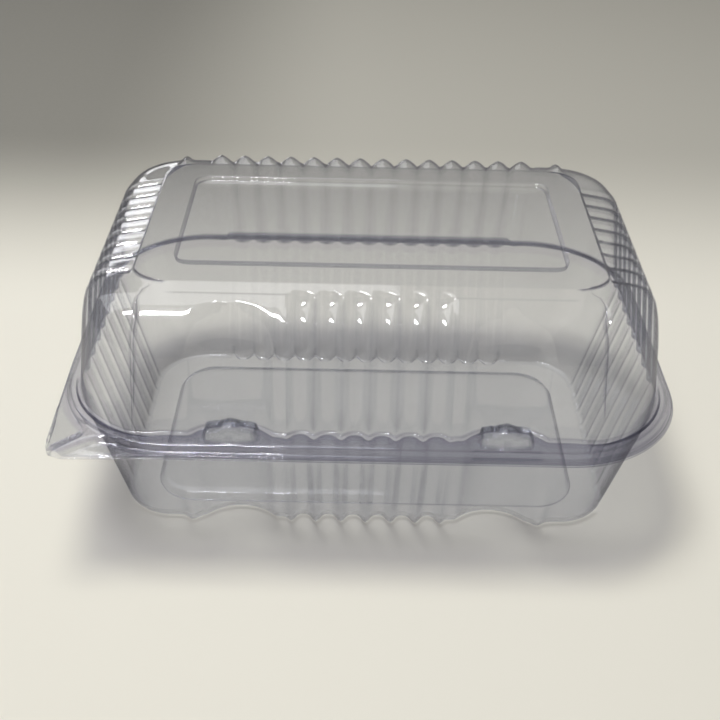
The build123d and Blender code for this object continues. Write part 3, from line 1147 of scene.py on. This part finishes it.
@dataclass
class Tray(FormedHalf):
    """Lower half: a raised floor panel, leaning fluted walls and a rimmed flange."""

    foot_half_width: float = 98.0
    foot_half_depth: float = 56.5
    foot_corner: float = 20.0
    foot_round: float = 2.0
    foot_lead: float = 6.0
    root_round: float = 0.4
    bay_depth: float = 7.2
    bay_foot_depth: float = 6.2
    toe_depth: float = 2.2
    toe_start: float = 0.8
    floor_half_width: float = 84.0
    floor_half_depth: float = 43.0
    floor_front: float = 45.0
    floor_corner: float = 14.0
    floor_rise: float = 3.0
    floor_inside: float = 6.0
    floor_run: float = 2.0
    floor_margin: float = 0.5
    floor_round: float = 0.9
    floor_crown: float = 1.8
    foot_flute: float = 1.8
    top_flute: float = 2.1
    foot_crest: float = 2.3
    top_crest: float = 1.0
    leg_place: float = 69.0
    leg_proud: float = 2.4
    leg_spread: float = 2.6
    leg_fade: Range = (0.1, 0.7)
    groove_depth: float = 0.6
    floor_parts: Parts = ((5.0, 1), (6.9, 4), (8.7, 1), (9.7, 3), (TO_END, 1))
    wall_parts: Parts = ((3.5, 1), (8.5, 7), (-3.0, 12), (-0.8, 4), (TO_END, 1))

    def flange(self) -> Flange:
        """The tray's flange, seen from below.

        Returns:
            The flange, narrowed so that it nests under the lid's.
        """
        depth = 2 * self.sizes.sheet + self.sizes.seat_gap
        draft = radians(Flange.rise_draft)
        shrink = depth / cos(draft) - depth * tan(draft)
        low = self.sizes.tray_flange_low
        return Flange(self.sizes, low, shrink=shrink, foot_round=1.1, crown_round=0.8, tab_lift=-0.4)

    def wall_profile(self, foot: float, root: float) -> Array:
        """Path of a wall from the foot up to the flange.

        Args:
            foot: reach at the ground.
            root: reach at the flange.

        Returns:
            Close points (out, height).
        """
        rim = self.flange().top
        stand = foot + (root - foot) * rim / (self.sizes.tray_flange_low + self.sizes.sheet)
        shelf = root + self.flange().shelf_start
        corners = [(foot - self.foot_lead, 0), (foot, 0), (stand, rim), (shelf, rim)]
        return rounded_path(corners, (self.foot_round, self.root_round))

    def levels(self) -> tuple[Levels, Array, int, int]:
        """Outlines of the tray from the middle of its floor to the edge of its flange.

        Returns:
            The levels, the corner radii at the tab, and the first levels of the shell and of the shelf.
        """
        rise, run = self.floor_rise, self.floor_run
        step = [(-self.floor_inside, rise), (0.0, rise), (run, 0.0), (run + self.floor_margin, 0.0)]
        floor = stepped(rounded_path(step, (self.floor_crown, self.floor_round)), self.floor_parts)
        rim, _ = self.flange().path()
        profiles = []
        for half, foot, root in (
            (self.floor_front, self.foot_half_depth, self.sizes.root_half_depth),
            (self.floor_half_depth, self.foot_half_depth, self.sizes.root_half_depth),
            (self.floor_half_width, self.foot_half_width, self.sizes.root_half_width),
        ):
            shell = stepped(self.wall_profile(foot, root), self.wall_parts)
            inner = floor + (half, 0)
            bridge = between(inner[-1], shell[0])
            profiles.append(np.concatenate([inner, bridge, shell, rim[1:] + (root, 0)]))
        count = len(profiles[0])
        first_shell = len(floor) + BRIDGE
        first_rim = first_shell + len(shell)
        corner = np.empty(count)
        corner[:len(floor)] = self.floor_corner + floor[:, 0]
        height = profiles[0][first_shell:first_rim, 1]
        corner[first_shell:first_rim] = mix(
            self.foot_corner, self.sizes.root_corner, height / self.sizes.tray_flange_low)
        corner[len(floor):first_shell] = between(corner[len(floor) - 1], corner[first_shell])
        corner[first_rim:] = self.sizes.root_corner + rim[1:, 0]
        levels = Levels(*profiles, corner, np.zeros(count), np.zeros(count), np.zeros(count))
        return levels, self.flange().tab_corners(corner), first_shell, first_rim

    def build(self) -> bpy.types.Object:
        """Shapes the tray and makes its mesh.

        Returns:
            The object, riding on the tray.
        """
        levels, tabbed, first_shell, first_rim = self.levels()
        surface = self.perimeter.place(levels, Facing.DOWN, tabbed)
        flange = self.flange()
        _, run = flange.path()
        edge, foot = levels.front[first_shell - BRIDGE - 1, 0], self.foot_half_depth - self.foot_round
        fade = np.clip((levels.front[:, 0] - edge) / (foot - edge), 0, 1)
        fade[first_rim:] = 1 - run[1:]
        climb = np.clip(levels.front[:, 1:] / self.sizes.tray_flange_low, 0, 1)
        deep = mix(self.foot_flute, self.top_flute, climb)
        proud = mix(self.foot_crest, self.top_crest, climb)
        depth = np.zeros(surface.x.shape)
        for side in Side:
            flutes = self.groove(self.flute_offset(surface.x, side), self.sizes.flute_radius, deep)
            depth += (flutes - proud * self.crest(surface.x, side)) * surface.side(side)
        bays = self.bays(surface.x, mix(self.bay_foot_depth, self.bay_depth, climb))
        toe = self.toe_depth * smooth(self.toe_start, 1, climb) * self.toe_zone(surface.x)
        legs = np.exp(-(((np.abs(surface.x) - self.leg_place) / self.leg_spread) ** 2))
        legs = legs * (1 - smooth(*self.leg_fade, climb))
        depth += (bays + toe - self.leg_proud * legs) * surface.side(Side.FRONT)
        depth += self.groove_depth * self.pleat_groove(surface.y) * surface.end()
        surface.push_level(-depth * fade[:, None])
        flange.shape_land(surface)
        made = self.piece("tray_sheet", surface, Facing.DOWN, flange, first_rim)
        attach(made, "tray")
        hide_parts("base_tray")
        return made


class Term:
    """A shader value that can stand in sums."""

    def __init__(self, shader: "Shader", socket: bpy.types.NodeSocket) -> None:
        """Wraps an output socket of a material's nodes."""
        self.shader = shader
        self.socket = socket

    def sum(self, operation: str, first: Any, second: Any) -> "Term":
        """Adds a Math node for an operation on two values."""
        return self.shader.node("ShaderNodeMath", {"operation": operation}, {0: first, 1: second})

    def __add__(self, other: Any) -> "Term":
        """self + other."""
        return self.sum("ADD", self, other)

    def __radd__(self, other: Any) -> "Term":
        """other + self."""
        return self.sum("ADD", other, self)

    def __sub__(self, other: Any) -> "Term":
        """self - other."""
        return self.sum("SUBTRACT", self, other)

    def __rsub__(self, other: Any) -> "Term":
        """other - self."""
        return self.sum("SUBTRACT", other, self)

    def __mul__(self, other: Any) -> "Term":
        """self * other."""
        return self.sum("MULTIPLY", self, other)

    def __rmul__(self, other: Any) -> "Term":
        """other * self."""
        return self.sum("MULTIPLY", other, self)

    def __pow__(self, other: Any) -> "Term":
        """self to the power of other."""
        return self.sum("POWER", self, other)


class Shader:
    """A material's nodes."""

    def __init__(self, name: str) -> None:
        """Starts a material with an empty tree.

        Args:
            name: name of the material.
        """
        self.material = bpy.data.materials.new(name)
        self.material.use_nodes = True
        self.tree = self.material.node_tree
        self.tree.nodes.clear()

    def node(self, kind: str, settings: dict[str, Any], inputs: dict[Any, Any], output: Any = 0) -> Term:
        """Adds a node.

        Args:
            kind: the node's type.
            settings: properties that are set first.
            inputs: values or terms for its sockets, by name or index.
            output: the output that is wanted, by name or index.

        Returns:
            The output as a term.
        """
        made = self.tree.nodes.new(kind)
        for name, value in settings.items():
            setattr(made, name, value)
        for name, value in inputs.items():
            if isinstance(value, Term):
                self.tree.links.new(value.socket, made.inputs[name])
            else:
                made.inputs[name].default_value = value
        return Term(self, made.outputs[output] if made.outputs else None)

    def ramp(self, value: Term, low: float, high: float) -> Term:
        """Goes smoothly from 0 to 1 as a value goes from low to high."""
        ease = {"interpolation_type": "SMOOTHSTEP"}
        return self.node("ShaderNodeMapRange", ease, {0: value, 1: low, 2: high})

    def tinted(self, colour: Colour) -> Term:
        """Lets light straight through, tinted."""
        return self.node("ShaderNodeBsdfTransparent", {}, {"Color": colour})

    def blended(self, share: Any, first: Term, second: Term) -> Term:
        """Goes from the first surface to the second as the share goes from 0 to 1."""
        return self.node("ShaderNodeMixShader", {}, {0: share, 1: first, 2: second})


@dataclass(frozen=True)
class ClearSheet:
    """Finish of thin clear formed sheet, with painted shade and painted light in places."""

    name: str
    mirror: float = 0.05
    edge_mirror: float = 0.35
    mirror_power: float = 5.0
    tint_power: float = 4.0
    glance_blend: float = 0.5
    roughness: float = 0.04
    haze_roughness: float = 0.05
    haze_scale: float = 160.0
    clear: Colour = (0.943, 0.947, 0.960, 1.0)
    edge_tint: Colour = (0.40, 0.40, 0.47, 1.0)
    rim_shade_colour: Colour = (0.895, 0.895, 0.925, 1.0)
    crease_shade_colour: Colour = (0.70, 0.70, 0.75, 1.0)
    painted_light_colour: Colour = (0.95, 0.94, 0.91, 1.0)
    foot_painted_light: float = 0.2
    bend_painted_highlight: float = 0.6
    painted_light_glow: float = 0.5
    painted_light_front: float = 0.0515
    painted_light_low: float = 0.0005
    painted_light_high: float = 0.0036
    raised: float = 0.0533
    rim_shade_front: Range = (0.04, 0.07)
    rim_shade_aside: float = 0.55
    film_corner: Point = (0.073, 0.038)
    film_start: float = 0.0455
    film_blend: float = 0.002
    rim_low: float = 0.0508
    rim_high: float = 0.0556
    rim_blend: float = 0.0006
    ripple_scale: float = 45.0
    ripple_height: float = 0.0004
    ripple_strength: float = 0.35

    def rim_shade_share(self, shader: Shader, across: Term, back: Term, height: Term) -> Term:
        """Where painted shade darkens the sheet: where the two flanges lie on each other, stronger at the
        front, apart from the flat film of the pull tab.

        Args:
            shader: the material's nodes.
            across: place along X.
            back: place along Y.
            height: place along Z.

        Returns:
            The share of the rim's tint.
        """
        over = shader.ramp(height, self.rim_low, self.rim_low + self.rim_blend)
        under = shader.ramp(height, self.rim_high, self.rim_high + self.rim_blend)
        ahead = shader.ramp(0 - back, *self.rim_shade_front)
        left, front = 0 - across - self.film_corner[0], 0 - back - self.film_corner[1]
        left, front = left.sum("MAXIMUM", left, 0.0), front.sum("MAXIMUM", front, 0.0)
        at_tab = shader.ramp((left**2 + front**2) ** 0.5, self.film_start, self.film_start + self.film_blend)
        film = at_tab * (1 - shader.ramp(height, self.raised, self.raised + self.rim_blend))
        return over * (1 - under) * (1 - film) * (self.rim_shade_aside + (1 - self.rim_shade_aside) * ahead)

    def painted_light_share(self, shader: Shader, back: Term, height: Term, bend: Term) -> Term:
        """Where light is painted on the sheet: a painted bright band along the front of the foot, and
        painted highlights in the bends near the ground.

        Args:
            shader: the material's nodes.
            back: place along Y.
            height: place along Z.
            bend: how tightly the sheet is bent.

        Returns:
            The share of painted light.
        """
        foot = shader.ramp(height, self.painted_light_low, self.painted_light_low + self.rim_blend)
        foot = foot * shader.ramp(0 - back, self.painted_light_front, self.painted_light_front + self.rim_blend)
        share = foot * self.foot_painted_light + (1 - foot) * bend * self.bend_painted_highlight
        return share * (1 - shader.ramp(height, self.painted_light_high, self.painted_light_high + self.rim_blend))

    def material(self) -> bpy.types.Material:
        """Builds the material: clear head on, mirroring and faintly blue at a glancing angle, with painted
        shade on the stacked flanges and in tight bends, and painted light along the foot.

        Returns:
            The material.
        """
        shader = Shader(self.name)
        place = shader.node("ShaderNodeTexCoord", {}, {}, "Object")
        across, back, height = (
            shader.node("ShaderNodeSeparateXYZ", {}, {"Vector": place}, axis) for axis in "XYZ")
        bend = shader.node("ShaderNodeAttribute", {"attribute_name": "bend"}, {}, "Fac")
        glance = shader.node("ShaderNodeLayerWeight", {}, {"Blend": self.glance_blend}, "Facing")
        edge_on = glance**self.tint_power
        body = shader.blended(edge_on, shader.tinted(self.clear), shader.tinted(self.edge_tint))
        # Painted shade on the rim where the two flanges lie on each other, stronger at the front.
        rim = self.rim_shade_share(shader, across, back, height)
        body = shader.blended(rim, body, shader.tinted(self.rim_shade_colour))
        # Painted shade: tight bends and creases darkened by how sharply the sheet is bent.
        body = shader.blended(bend, body, shader.tinted(self.crease_shade_colour))
        # Painted light: a bright band along the front of the foot and painted highlights in the bends near
        # the ground, half lit and half glowing.
        lit = shader.node("ShaderNodeBsdfDiffuse", {}, {"Color": self.painted_light_colour})
        glowing = shader.node("ShaderNodeBsdfTranslucent", {}, {"Color": self.painted_light_colour})
        painted_light_surface = shader.blended(self.painted_light_glow, lit, glowing)
        body = shader.blended(self.painted_light_share(shader, back, height, bend), body, painted_light_surface)
        ripple, haze = (
            shader.node("ShaderNodeTexNoise", {}, {"Vector": place, "Scale": scale, "Detail": 0.0})
            for scale in (self.ripple_scale, self.haze_scale))
        waves = {"Height": ripple, "Strength": self.ripple_strength, "Distance": self.ripple_height}
        bump = shader.node("ShaderNodeBump", {}, waves, "Normal")
        rough = self.roughness + self.haze_roughness * haze
        gloss = shader.node("ShaderNodeBsdfAnisotropic", {}, {"Roughness": rough, "Normal": bump})
        mirrored = self.mirror + self.edge_mirror * glance**self.mirror_power
        surface = shader.blended(mirrored, body, gloss)
        shader.node("ShaderNodeOutputMaterial", {}, {"Surface": surface})
        return shader.material


@dataclass(frozen=True)
class PaleFloor:
    """Plain pale floor, with painted shade behind the pack, more of it to the left."""

    colour: Colour = (0.79, 0.765, 0.68, 1.0)
    shade: Colour = (0.0, 0.0, 0.0, 1.0)
    roughness: float = 0.6
    specular: float = 0.1
    grain_roughness: float = 0.2
    grain_scale: float = 300.0
    grain_detail: float = 3.0
    half_size: float = 2.5
    shade_start: float = 0.09
    shade_end: float = 0.32
    shade_far: float = 0.42
    shade_left: float = 0.28
    shade_left_run: float = 0.2

    def material(self) -> bpy.types.Material:
        """Builds the material: pale and finely grained, with painted shade that darkens it behind the pack,
        more so to the left.

        Returns:
            The material.
        """
        shader = Shader("pale_floor")
        place = shader.node("ShaderNodeTexCoord", {}, {}, "Object")
        grains = {"Vector": place, "Scale": self.grain_scale, "Detail": self.grain_detail}
        grain = shader.node("ShaderNodeTexNoise", {}, grains)
        across, back = (shader.node("ShaderNodeSeparateXYZ", {}, {"Vector": place}, axis) for axis in "XY")
        # Painted shade: the floor darkens behind the pack, more so to the left.
        far = shader.ramp(back, self.shade_start, self.shade_end)
        dim = 1 - far * (self.shade_far + self.shade_left * shader.ramp(0 - across, 0.0, self.shade_left_run))
        shades = {0: dim, MIX_FIRST: self.shade, MIX_SECOND: self.colour}
        colour = shader.node("ShaderNodeMix", {"data_type": "RGBA"}, shades, MIX_RESULT)
        rough = self.roughness + self.grain_roughness * grain
        paint = shader.node(
            "ShaderNodeBsdfPrincipled", {},
            {"Base Color": colour, "Roughness": rough, "Specular IOR Level": self.specular})
        shader.node("ShaderNodeOutputMaterial", {}, {"Surface": paint})
        return shader.material

    def build(self) -> bpy.types.Object:
        """Makes the floor.

        Returns:
            The floor.
        """
        plane = bmesh.new()
        bmesh.ops.create_grid(plane, x_segments=1, y_segments=1, size=self.half_size)
        mesh = bpy.data.meshes.new("floor")
        plane.to_mesh(mesh)
        plane.free()
        floor = bpy.data.objects.new("floor", mesh)
        bpy.context.scene.collection.objects.link(floor)
        mesh.materials.append(self.material())
        return floor


@dataclass(frozen=True)
class Lamp:
    """A soft rectangular lamp."""

    name: str
    place: Place
    target: Place
    size: tuple[float, float]
    power: float
    use: LampUse

    def build(self) -> bpy.types.Object:
        """Hangs the lamp and turns it to its target.

        Returns:
            The lamp.
        """
        data = bpy.data.lights.new(self.name, "AREA")
        data.shape = "RECTANGLE"
        data.size, data.size_y = self.size
        data.energy = self.power
        lamp = bpy.data.objects.new(self.name, data)
        bpy.context.scene.collection.objects.link(lamp)
        lamp.visible_diffuse = self.use is LampUse.FILL
        lamp.visible_glossy = self.use is LampUse.GLINT
        lamp.location = self.place
        lamp.rotation_euler = (Vector(self.target) - Vector(self.place)).to_track_quat("-Z", "Y").to_euler()
        return lamp


@dataclass(frozen=True)
class Studio:
    """Camera, lamps and surroundings."""

    lens: float = 55.0
    sensor: float = 36.0
    pitch: float = 35.07
    yaw: float = 0.38
    roll: float = 1.42
    distance: float = 461.66
    target: Place = (-3.33, -7.17, 42.46)
    sky: Colour = (1.0, 0.98, 0.95, 1.0)
    sky_strength: float = 0.2
    bounces: int = 6
    diffuse_bounces: int = 2
    glossy_bounces: int = 2
    clear_bounces: int = 32

    def camera(self) -> bpy.types.Object:
        """Sets the camera at the photograph's viewing angle.

        Returns:
            The camera.
        """
        data = bpy.data.cameras.new("camera")
        data.lens, data.sensor_width = self.lens, self.sensor
        camera = bpy.data.objects.new("camera", data)
        pitch, yaw, roll = radians(self.pitch), radians(self.yaw), radians(self.roll)
        ahead = Vector((sin(yaw) * cos(pitch), cos(yaw) * cos(pitch), -sin(pitch)))
        right = Vector((cos(yaw), -sin(yaw), 0))
        up = right.cross(ahead)
        turned_right = right * cos(roll) + up * sin(roll)
        turned_up = up * cos(roll) - right * sin(roll)
        spot = Vector(self.target) * MM - ahead * self.distance * MM
        columns = Matrix((turned_right, turned_up, -ahead)).transposed().to_4x4()
        camera.matrix_world = Matrix.Translation(spot) @ columns
        bpy.context.scene.collection.objects.link(camera)
        bpy.context.scene.camera = camera
        return camera

    def surroundings(self) -> None:
        """Sets the even light of the room."""
        world = bpy.data.worlds.new("room")
        world.use_nodes = True
        backdrop = world.node_tree.nodes["Background"]
        backdrop.inputs["Color"].default_value = self.sky
        backdrop.inputs["Strength"].default_value = self.sky_strength
        bpy.context.scene.world = world

    def lamps(self) -> list[bpy.types.Object]:
        """Hangs the lamps.

        Returns:
            The lamps.
        """
        hung = (
            Lamp("overhead", place=(-0.22, 0.06, 1.3), target=(0.0, 0.0, 0.0),
                 size=(0.5, 0.4), power=14.8, use=LampUse.FILL),
            Lamp("ceiling", place=(-0.95, 0.3, 1.0), target=(-0.95, 0.3, 0.0),
                 size=(2.0, 1.2), power=13.0, use=LampUse.GLINT),
            Lamp("front_strip", place=(-0.42, -0.47, 0.98), target=(-0.42, -0.47, 0.0),
                 size=(0.66, 0.075), power=13.0, use=LampUse.GLINT),
            Lamp("back_window", place=(-0.6, 1.4, 0.58), target=(0.0, 0.0, 0.09),
                 size=(0.36, 0.28), power=2.2, use=LampUse.GLINT),
        )
        return [lamp.build() for lamp in hung]

    def picture(self) -> None:
        """Sets how light is traced and shown."""
        scene = bpy.context.scene
        scene.view_settings.view_transform = "Standard"
        scene.cycles.max_bounces = self.bounces
        scene.cycles.diffuse_bounces = self.diffuse_bounces
        scene.cycles.glossy_bounces = self.glossy_bounces
        scene.cycles.transparent_max_bounces = self.clear_bounces
        scene.cycles.use_denoising = True


def main() -> None:
    """Builds the pack, the floor, the lamps and the camera."""
    logging.basicConfig(level=logging.INFO)
    sizes = PackSizes()
    perimeter = Perimeter(sizes)
    for half, finish in (
        (Tray(sizes, perimeter), ClearSheet("clear_tray_sheet")),
        (Lid(sizes, perimeter), ClearSheet("clear_lid_sheet")),
    ):
        made = half.build()
        made.data.materials.append(finish.material())
        LOG.info("%s: %d faces", made.name, len(made.data.polygons))
    PaleFloor().build()
    studio = Studio()
    studio.camera()
    studio.surroundings()
    studio.lamps()
    studio.picture()


if __name__ == "__main__":
    main()
